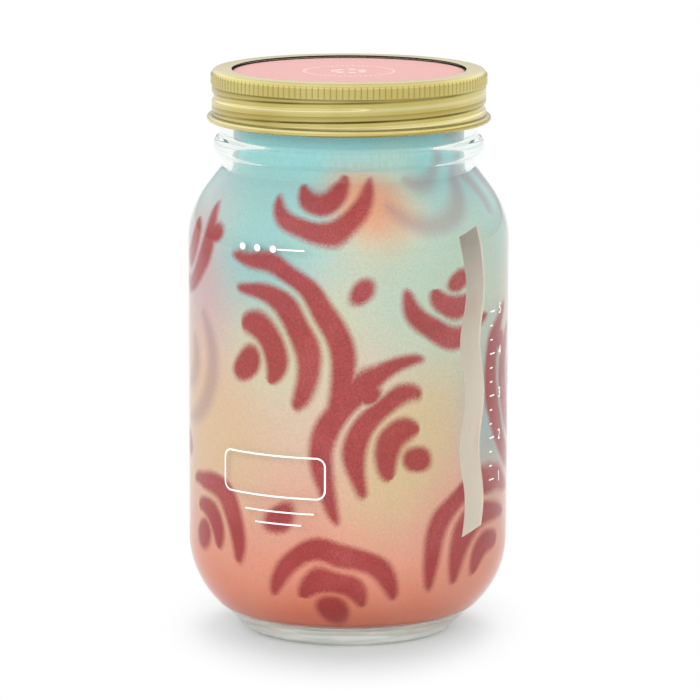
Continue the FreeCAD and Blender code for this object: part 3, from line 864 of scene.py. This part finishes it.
def printed_liner():
    """A thin film with an outer and an inner face, a clear window and a hole in its floor."""
    wall = inner_corners()
    wall[0] = wall[0][:2]
    clinging, free, inner = (
        outline(moved_path(wall, inward), LINER_ARC_STEPS)
        for inward in (-LINER_CLING, LINER_GAP, LINER_GAP + LINER_FILM)
    )
    low, high = FLOOR_HEIGHT + LINER_GAP + 1.5 * LINER_FILM, liner_high.z
    heights = {low, high, WINDOW_LOW, WINDOW_HIGH}
    for path in (free, inner):
        heights |= {p.y for p in spaced(path, LINER_ROW) if low < p.y < high}
    rows = [low]
    for z in sorted(heights):
        if z in (WINDOW_LOW, WINDOW_HIGH, high) or z - rows[-1] > LINER_LEAST_ROW:
            rows.append(z)
    floor_width = radius_at(inner, low) - BOTTOM_HOLE
    floor_radii = [BOTTOM_HOLE + floor_width * k / LINER_FLOOR_ROWS for k in range(LINER_FLOOR_ROWS)]
    half = math.degrees(WINDOW_WIDTH / 2 / liner_radius)
    columns = [-half + 2 * half * k / WINDOW_COLUMNS for k in range(WINDOW_COLUMNS + 1)]
    columns += [half + (360 - 2 * half) * k / LINER_COLUMNS for k in range(1, LINER_COLUMNS)]

    def outer_radius(z):
        hold = smoothstep((CLING_TOP - z) / CLING_EASE)
        return radius_at(free, z) + (radius_at(clinging, z) - radius_at(free, z)) * hold

    def spot(column, z, outside):
        """A grid point, moved so that the window's long edges wave and its ends slant."""
        offset = (column + 180) % 360 - 180
        near = smoothstep(1 - max(abs(offset) - half, 0) / WINDOW_BESIDE)
        swing = WINDOW_WAVE * math.sin(2 * math.pi * (z - WINDOW_LOW) / WINDOW_WAVE_LENGTH)
        swing *= smoothstep((z - WINDOW_LOW + WINDOW_WAVE_FADE) / WINDOW_WAVE_FADE)
        swing *= smoothstep((WINDOW_HIGH + WINDOW_WAVE_FADE - z) / WINDOW_WAVE_FADE)
        slid = min(max(offset, -half), half) / half
        rise = WINDOW_SLANT / 2 * (slid + (1 if z > (WINDOW_LOW + WINDOW_HIGH) / 2 else -1))
        ends = min(abs(z - WINDOW_LOW), abs(z - WINDOW_HIGH))
        rise *= smoothstep(1 - ends / WINDOW_SLANT_REACH) * near
        z = min(max(z + rise, low), high)
        degrees = WINDOW_ANGLE + offset + math.degrees(swing / liner_radius) * near
        return on_jar(degrees, outer_radius(z) if outside else radius_at(inner, z), z)

    verts = []
    for outside, above in ((True, -LINER_CLING), (False, LINER_GAP + LINER_FILM)):
        verts += [on_jar(WINDOW_ANGLE + c, r, FLOOR_HEIGHT + above) for r in floor_radii for c in columns]
        verts += [spot(c, z, outside) for z in rows for c in columns]
    rows = [0] * len(floor_radii) + rows
    count = len(columns)
    cells = [
        grid_cell(i, k, count) for i in range(len(rows) - 1) for k in range(count)
        if k >= WINDOW_COLUMNS or not WINDOW_LOW <= rows[i] < WINDOW_HIGH
    ]
    liner = mesh_object("liner_film", verts, closed_faces(cells, len(rows) * count), [printed, liner_back])
    for polygon in liner.data.polygons[len(cells):]:
        polygon.material_index = 1
    liner.data.set_sharp_from_angle(angle=math.radians(50))
    place(liner, "jar", "printed_film", "printed_liner")


printed_liner()


# The screw band

def screw_band():
    """The band as one sheet: lip, corner, knurled wall, rolled thread and curled hem."""
    top, low = band_high.z, band_low.z
    under_lip, inner_wall = top - BAND_SHEET, BAND_WALL_RADIUS - BAND_SHEET
    outer = outline([
        (LIP_RADIUS + 2 * BAND_SHEET, under_lip),
        (LIP_RADIUS, top - BAND_SHEET / 2, 0.12 * MM),
        (LIP_RADIUS + BAND_SHEET * 0.6, top, 0.2 * MM),
        (BAND_WALL_RADIUS, top, BAND_CORNER),
        (BAND_WALL_RADIUS, low + 2 * CURL_RADIUS, 0.3 * MM),
    ], 6)
    curved = [p for p in outer if p.x <= BAND_WALL_RADIUS - 1e-6]
    straight = spaced([p for p in outer if p.x > BAND_WALL_RADIUS - 1e-6], BAND_ROW)
    curl_centre = Vector((inner_wall + CURL_RADIUS, low + CURL_RADIUS))
    curl = []
    for k in range(CURL_STEPS + 1):
        angle = math.radians(CURL_START - CURL_STEP * k)
        curl.append(curl_centre + CURL_RADIUS * Vector((math.cos(angle), math.sin(angle))))
    corner = (inner_wall, top - BAND_CORNER)
    inside = spaced([Vector((inner_wall, low + CURL_RADIUS)), Vector(corner)], BAND_INSIDE_ROW)
    turned = (inner_wall, under_lip, BAND_CORNER - BAND_SHEET)
    under = outline([corner, turned, (LIP_RADIUS + 2 * BAND_SHEET, under_lip)], 5)[1:]
    points = curved + straight + curl + inside + under
    wall_rows = range(len(curved), len(curved) + len(straight))
    inner_rows = range(len(points) - len(under) - len(inside), len(points) - len(under))

    def pressed(degrees, point, i):
        r, z = point
        if i in wall_rows or i in inner_rows:
            r -= ROLL_DEPTH * thread_rise(degrees, z, low + ROLL_START, ROLL_TURNS, ROLL_HALF)
        if i in wall_rows:
            share = smoothstep((z - knurl_low) / KNURL_EASE) * smoothstep((knurl_high - z) / KNURL_EASE)
            r += KNURL_DEPTH * share * abs(math.sin(math.radians(degrees) * KNURL_COUNT / 2))
        return r, z

    band = lathe("band_shell", points, KNURL_COUNT * 4, pressed, gold)
    place(band, "band", "gold_metal", "screw_band")


screw_band()


# White marks on the glass

def wrapped_mark(name, shapes):
    """Flat shapes, each a list of (degrees, z) corners, as thin plates on the glass."""
    cells, total = [], 0
    for corners in shapes:
        cells.append(list(range(total, total + len(corners))))
        total += len(corners)
    verts = [
        on_jar(d, radius, z) for radius in (mark_radius, mark_radius - MARK_DEPTH)
        for corners in shapes for d, z in corners
    ]
    mark = mesh_object(name, verts, closed_faces(cells, total), [white_ink], smooth=False)
    place(mark, "jar", "glass")


def turned_by(length):
    """The degrees that a length along the glass takes up."""
    return math.degrees(length / body_radius)


def bar(degrees, z, width, height):
    """Corners of a bar in pieces short enough to follow the glass."""
    half = turned_by(width / 2)
    steps = max(1, math.ceil(half))
    edges = [degrees - half + 2 * half * k / steps for k in range(steps + 1)]
    low, high = z - height / 2, z + height / 2
    return [[(a, low), (b, low), (b, high), (a, high)] for a, b in zip(edges, edges[1:])]


def dot(degrees, z, radius):
    angles = [2 * math.pi * k / DOT_CORNERS for k in range(DOT_CORNERS)]
    return [(degrees + turned_by(radius * math.cos(a)), z + radius * math.sin(a)) for a in angles]


def frame_line(degrees, z, width, height, line, corner):
    """A rounded frame drawn with one line, cut into short four-sided pieces."""
    path = []
    for cx, cz, start in ((1, 1, 0), (-1, 1, 90), (-1, -1, 180), (1, -1, 270)):
        for k in range(FRAME_STEPS + 1):
            angle = math.radians(start + 90 * k / FRAME_STEPS)
            cosine, sine = math.cos(angle), math.sin(angle)
            along = cx * (width / 2 - corner) + corner * cosine
            path.append((along, cz * (height / 2 - corner) + corner * sine, cosine, sine))
    dense = []
    for a, b in zip(path, path[1:] + path[:1]):
        count = max(1, math.ceil(math.dist(a[:2], b[:2]) / FRAME_PIECE))
        dense += [tuple(p + (q - p) * k / count for p, q in zip(a, b)) for k in range(count)]
    outer, inner = (
        [(degrees + turned_by(x - depth * cosine), z + y - depth * sine) for x, y, cosine, sine in dense]
        for depth in (0, line)
    )
    return [[inner[k - 1], inner[k], outer[k], outer[k - 1]] for k in range(len(dense))]


def digit(text, degrees, z, height):
    """A plain number on the glass, from Blender's own font, bent round the jar."""
    curve = bpy.data.curves.new("number_" + text, "FONT")
    curve.body = text
    curve.size = height
    curve.align_x, curve.align_y = "CENTER", "CENTER"
    curve.extrude = MARK_DEPTH / 2
    flat = add_object("flat_number_" + text, curve)
    mesh = bpy.data.meshes.new_from_object(flat.evaluated_get(bpy.context.evaluated_depsgraph_get()))
    bpy.data.objects.remove(flat)
    for vertex in mesh.vertices:
        x, y, depth = vertex.co
        vertex.co = on_jar(degrees + turned_by(x), mark_radius - MARK_DEPTH / 2 + depth, z + y)
    mesh.materials.clear()
    mesh.materials.append(white_ink)
    place(add_object("fill_number_" + text, mesh), "jar", "glass")


def white_marks():
    """An empty frame with two rules under it, three dots with a rule, and a numbered scale."""
    panel = frame_line(-28.5, 57.5 * MM, 37 * MM, 13.5 * MM, 0.55 * MM, 3.0 * MM)
    panel += bar(-25.5, 46.2 * MM, 24 * MM, RULE) + bar(-25.5, 42.4 * MM, 16 * MM, RULE)
    wrapped_mark("name_panel_lines", panel)
    dots = [dot(-40 + 6.4 * k, 129 * MM, 1.1 * MM) for k in range(3)]
    wrapped_mark("shoulder_dots", dots + bar(-20.5, 129 * MM, 9 * MM, RULE))
    scale = []
    for k in range(SCALE_MARKS):
        width = 1.7 * MM if k % SCALE_LONG else 3.2 * MM
        scale += bar(SCALE_ANGLE + turned_by(width / 2), SCALE_LOW + SCALE_STEP * k, width, 0.4 * MM)
    wrapped_mark("fill_scale", scale)
    for k in range(0, SCALE_MARKS, SCALE_LONG):
        digit(str(k // SCALE_LONG + 1), NUMBER_ANGLE, SCALE_LOW + SCALE_STEP * k, NUMBER_SIZE)


white_marks()


# The soft pieces in the net pot

def closed_sheet(name, finish, rows, columns, part):
    """A closed mesh with two faces and the edge round them. part(row, column) gives a middle point, the
    normal and half the thickness there."""
    parts = [part(row, column) for row in rows for column in columns]
    verts = [p + n * half for p, n, half in parts] + [p - n * half for p, n, half in parts]
    cells = [grid_cell(i, k, len(columns)) for i in range(len(rows) - 1) for k in range(len(columns) - 1)]
    piece = mesh_object(name, verts, closed_faces(cells, len(parts)), [finish])
    piece.data.set_sharp_from_angle(angle=math.radians(60))
    return piece


def spin(degrees):
    return Matrix.Rotation(math.radians(degrees), 3, "Z")


def shares(half_count):
    """Even steps from -1 to 1."""
    return [k / half_count for k in range(-half_count, half_count + 1)]


def path_length(path):
    return sum((b - a).length for a, b in zip(path, path[1:]))


def directions(path):
    """Each point of a path with the direction in which the path runs there."""
    last = len(path) - 1
    return [(p, (path[min(i + 1, last)] - path[max(i - 1, 0)]).normalized()) for i, p in enumerate(path)]


def felt_wick():
    """A flat felt strip: one leg lies on the pot's floor, the other hangs into the reservoir."""
    level, half_width = wick_high.z + wick_low.y, wick_high.x * WICK_WIDTH_SHARE
    path = spaced(outline([(0, wick_low.z), (0, level, WICK_BEND), (wick_high.y, level)]), SHEET_ROW)

    def part(row, column):
        point, ahead = row
        free = smoothstep((level - WICK_HELD - point.y) / WICK_FREED)
        sway = free * WICK_SWAY * math.sin(point.y / WICK_SWAY_LENGTH)
        twist = free * WICK_TWIST * math.sin(point.y / WICK_TWIST_LENGTH)
        x = half_width * column
        spot = Vector((x, point.x + sway + x * math.sin(twist), point.y))
        fuzz = FELT_FUZZ * noise.noise(spot / FELT_FUZZ_SIZE)
        half = FELT_THICKNESS / 2 * (1 - FELT_EDGE * abs(column) ** 6) + fuzz
        return spot, Vector((0, -ahead.y, ahead.x)), half

    wick = closed_sheet("felt_wick", felt_white, directions(path), shares(WICK_COLUMNS), part)
    place(wick, "net_pot", "felt", "wick_strip")
    path_length(path)


def coco_block():
    """A pressed block of coco fibre with a rough surface and loose fibres."""
    low, high, wide = medium_low.z, medium_high.z, medium_high.x
    middle = (low + high) / 2
    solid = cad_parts["grow_medium"]
    corners = [solid.matrix_world @ v.co for v in solid.data.vertices]
    narrow = max(math.hypot(v.x, v.y) for v in corners if v.z < low + 0.1 * MM)
    points = outline([(0, low), (narrow, low, 1.5 * MM), (wide, high, 2.2 * MM), (0, high)])

    def rough(degrees, point, i):
        spot = on_jar(degrees, point.x, point.y)
        pit = 0.55 + 0.45 * noise.noise(spot / (1.6 * MM)) + 0.35 * noise.noise(spot / (6 * MM))
        pit = max(pit, 0) * COCO_PIT
        sunk = min(pit, max(point.y - middle, 0)) * smoothstep((point.y - high) / COCO_TOP + 1)
        return max(point.x - pit * COCO_PIT_SIDE, 0), point.y - sunk

    block = lathe("coco_block", spaced(points, COCO_ROW), COCO_SEGMENTS, rough, coco)
    place(block, "net_pot", "coco_fibre", "grow_medium")
    picked = random.Random(11)
    verts, faces = [], []
    for _ in range(FIBRE_COUNT):
        on_top = picked.random() < 0.6
        degrees, heading = picked.uniform(0, 360), picked.uniform(0, 2 * math.pi)
        share = picked.uniform(0.1, 0.9)
        r = picked.uniform(0.2, 0.9) * wide if on_top else narrow + (wide - narrow) * share - 0.5 * MM
        spot = on_jar(degrees, r, high - 0.5 * MM if on_top else low + (high - low) * share)
        across, outward = on_jar(degrees + 90, 1, 0), on_jar(degrees, 1, 0)
        second, lift = (outward, UP) if on_top else (UP, outward)
        start = len(verts)
        for k in range(FIBRE_STEPS + 1):
            heading += picked.uniform(-0.5, 0.5)
            spot = spot + (across * math.cos(heading) + second * math.sin(heading)) * FIBRE_STEP
            arch = spot + lift * FIBRE_ARCH * math.sin(math.pi * k / FIBRE_STEPS)
            limit = narrow + (wide - narrow) * (arch.z - low) / (high - low) - 0.2 * MM
            reach = math.hypot(arch.x, arch.y)
            if reach > limit:
                arch = Vector((arch.x * limit / reach, arch.y * limit / reach, arch.z))
            arch.z = min(max(arch.z, low + 0.3 * MM), high - 0.15 * MM)
            side = (second * math.cos(heading) - across * math.sin(heading)) * FIBRE_HALF
            verts.append(arch + side)
            verts += [arch - side * 0.5 + lift * 0.1 * MM, arch - side * 0.5 - lift * 0.1 * MM]
        tube = [grid_cell(i, k, 3) for i in range(FIBRE_STEPS) for k in range(3)]
        last = 3 * FIBRE_STEPS
        faces += [[v + start for v in face] for face in tube + [(2, 1, 0), (last, last + 1, last + 2)]]
    fibres = mesh_object("coco_fibres", verts, faces, [coco_light])
    place(fibres, "net_pot", "coco_fibre")


def pillow(name, size, low, high, turn, seams, finish, crimp=0.0, lumps=0.2):
    """A filled bag. seams are the widths of its flat seals along X and Y. It is full in the middle,
    flat where it rests, and its sides pull in between the corners."""
    length, width = size
    thick = high - low
    rest = PILLOW_REST * thick
    turned = spin(turn)

    def part(v, u):
        x = length / 2 * u * (1 - PILLOW_PULL * (1 - v ** 4) * u ** 2)
        y = width / 2 * v * (1 - PILLOW_PULL * (1 - u ** 4) * v ** 2)
        p = min(abs(u) / (1 - 2 * seams[0] / length), 1)
        q = min(abs(v) / (1 - 2 * seams[1] / width), 1)
        full = ((1 - p ** 2.4) * (1 - q ** 2.4)) ** 0.6
        pucker = math.sin(v * 17 + 2 * u) * p ** 6 + math.sin(u * 19 - 3 * v) * q ** 6
        lump = noise.noise(Vector((x, y, low)) / PILLOW_LUMP)
        swell = full * (1 + 0.14 * pucker * (1 - full)) + lumps * full * 0.2 * lump
        upper = min(swell * 1.2, 1) * (thick - rest - SEAM_HALF)
        lower = min(swell * 1.35, 1) * (rest - SEAM_HALF)
        wave = SEAM_WAVE * math.sin(v * 6 + u * 4)
        wave += crimp * math.sin(2 * math.pi * x / CRIMP_LENGTH) if p >= 1 else 0
        middle = low + rest + (upper - lower) / 2 + wave * (1 - min(full * 6, 1))
        return turned @ Vector((x, y, middle)), UP, SEAM_HALF + (upper + lower) / 2

    return closed_sheet(name, finish, shares(PILLOW_HALF_STEPS), shares(PILLOW_HALF_STEPS), part)


def envelope_flap(level):
    """The packet's glued flap, with slanted ends."""
    turned = spin(SEED_TURN)

    def part(loose, column):
        y = SEED_PACKET[1] / 2 - 0.9 * MM - 10 * MM * loose
        half = SEED_PACKET[0] / 2 - 1.2 * MM - 3.5 * MM * loose
        lift = 0.05 * MM * math.sin(9 * column) * loose
        return turned @ Vector((half * column, y, level + lift)), UP, 0.09 * MM

    rows = [1 - i / FLAP_ROWS for i in range(FLAP_ROWS + 1)]
    return closed_sheet("envelope_flap", kraft, rows, shares(FLAP_COLUMNS), part)


def leaflet():
    """One sheet of paper folded twice into three leaves."""
    width, length = LEAFLET
    low, high = leaflet_low.z, leaflet_high.z
    first, second, third = (low + (high - low) * share for share in (0.1, 0.45, 0.8))
    half, fold = width / 2 - 0.15 * MM, (second - first) * 0.49
    path = spaced(outline([
        (-half, first), (half, first, fold), (half, second, fold),
        (-half, second, fold), (-half, third, fold), (half, third),
    ], 6), SHEET_ROW)
    turned = spin(LEAFLET_TURN)

    def part(row, column):
        i, (point, ahead) = row
        top_leaf = smoothstep((i / (len(path) - 1) - TOP_LEAF) / (1 - TOP_LEAF))
        curl = LEAFLET_CURL * top_leaf * column ** 2 * (1 if column > 0 else 0.5)
        spot = Vector((point.x, -length / 2 * column, point.y + curl))
        return turned @ spot, turned @ Vector((-ahead.y, 0, ahead.x)), PAPER_HALF

    rows = list(enumerate(directions(path)))
    folded = closed_sheet("folded_leaflet", white_paper, rows, shares(LEAFLET_COLUMNS), part)
    place(folded, "net_pot", "white_paper", "care_leaflet")
    path_length(path)


def packets():
    """What lies on the medium: a carbon pouch, a sachet of plant food, a seed packet and a leaflet."""
    size = (carbon_high.x - carbon_low.x, carbon_high.y - carbon_low.y)
    seams = (3.2 * MM, 3.2 * MM)
    pouch = pillow("charcoal_pouch", size, carbon_low.z, carbon_high.z, 0, seams, nonwoven, lumps=1.2)
    place(pouch, "net_pot", "pouch_fabric", "carbon_pouch")
    size = (sachet_high.x - sachet_low.x, sachet_high.y - sachet_low.y)
    seams = (4.5 * MM, 0.6 * MM)
    sachet = pillow("food_sachet", size, sachet_low.z, sachet_high.z, 0, seams, film, crimp=0.12 * MM)
    place(sachet, "net_pot", "sachet_foil", "plant_food_sachet")
    seams, high = (2.5 * MM, 2.5 * MM), seeds_high.z - FLAP_THICKNESS
    envelope = pillow("seed_envelope", SEED_PACKET, seeds_low.z, high, SEED_TURN, seams, kraft, lumps=1.0)
    place(envelope, "net_pot", "kraft_paper", "seed_packet")
    place(envelope_flap(seeds_high.z - FLAP_THICKNESS / 2), "net_pot", "kraft_paper")
    leaflet()


felt_wick()
coco_block()
packets()

# Finishes for the pieces whose solid has the right shape
for node, finish in (
    ("lid_disc", tinplate), ("lid_card", pink_card), ("lid_seal_ring", silicone), ("net_pot_rim", steel),
    ("net_pot_wall", steel), ("net_pot_floor", steel),
):
    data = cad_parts[node].data
    data.materials.clear()
    data.materials.append(finish)


# Floor, light and camera

def stage():
    """A matt floor, a little lighter where it is seen than where it only scatters light. Outside an oval
    round the jar it fades into the white backdrop."""
    made, g, where, shader, surface = material("floor_white")
    seen = g.larger(g.path("Is Camera Ray"), g.larger(g.path("Is Glossy Ray"), g.path("Is Transmission Ray")))
    colour = g.mix(seen, (0.75, 0.75, 0.75, 1), (0.78, 0.78, 0.78, 1))
    g.feed_all(shader, {"Base Color": colour, "Roughness": 1.0, "Specular IOR Level": 0.0})
    fade = g.ramp(g.from_axis(where, FLOOR_OVAL), FLOOR_FADE_START, FLOOR_FADE_END) * seen
    g.blend_in(surface, fade, g.emission((1, 1, 1, 1)))
    corners = [(x * FLOOR_HALF, y * FLOOR_HALF, 0) for x, y in ((-1, -1), (1, -1), (1, 1), (-1, 1))]
    floor = mesh_object("floor", corners, [(0, 1, 2, 3)], [made])


def lights():
    """A white studio, darker overhead and below, and three lamps. The eye sees it plain white, also through
    the glass."""
    world = bpy.data.worlds.new("studio")
    bpy.context.scene.world = world
    world.use_nodes = True
    world.node_tree.nodes.clear()
    g = Graph(world.node_tree)
    seen = g.larger(g.path("Is Camera Ray"), g.math("MINIMUM", g.path("Transmission Depth"), 1.0))
    direction = g.value("ShaderNodeTexCoord", output="Generated")
    upward = g.value("ShaderNodeSeparateXYZ", {0: direction}, output=2)
    overhead = g.ramp(upward, 0.4, 0.95, 0.0, 0.85) * g.ramp(g.path("Is Glossy Ray"), 0.0, 1.0, 1.0, 0.3)
    sky = g.ramp(upward, -0.05, 0.3, 0.6, 1.3) - overhead
    strength = seen * (1.0 - sky) + sky
    back = g.value("ShaderNodeBackground", {"Color": (1, 1, 1, 1), "Strength": strength})
    g.feed(g.node("ShaderNodeOutputWorld").inputs[0], back)
    for name, spot, size, power in (
        ("key", (-1.3, -1.5, 0.7), 1.6, 24.0),
        ("fill", (1.6, -0.9, 0.5), 1.4, 15.0),
        ("rear", (0.1, 0.9, 1.5), 0.7, 11.0),
    ):
        lamp = bpy.data.lights.new(name, "AREA")
        lamp.size = size
        lamp.energy = power
        obj = add_object(name, lamp)
        obj.location = spot
        obj.visible_glossy = obj.visible_transmission = False
        obj.rotation_euler = (Vector((0, 0, 0.09)) - Vector(spot)).to_track_quat("-Z", "Y").to_euler()


def camera():
    """A long lens a little above the jar, fitted to the photograph's circles."""
    frame_px, focal_px, sensor = 700, 4441, 36
    spot, pitch, roll = (0.00054, -1.4, 0.341), 0.1779, math.radians(0.15)
    data = bpy.data.cameras.new("camera")
    data.sensor_width = sensor
    data.lens = sensor * focal_px / frame_px
    obj = add_object("camera", data)
    tilt = Matrix.Rotation(math.pi / 2 - pitch, 4, "X") @ Matrix.Rotation(roll, 4, "Z")
    obj.matrix_world = Matrix.Translation(spot) @ tilt
    bpy.context.scene.camera = obj


stage()
lights()
camera()
bpy.context.scene.view_settings.view_transform = "Standard"
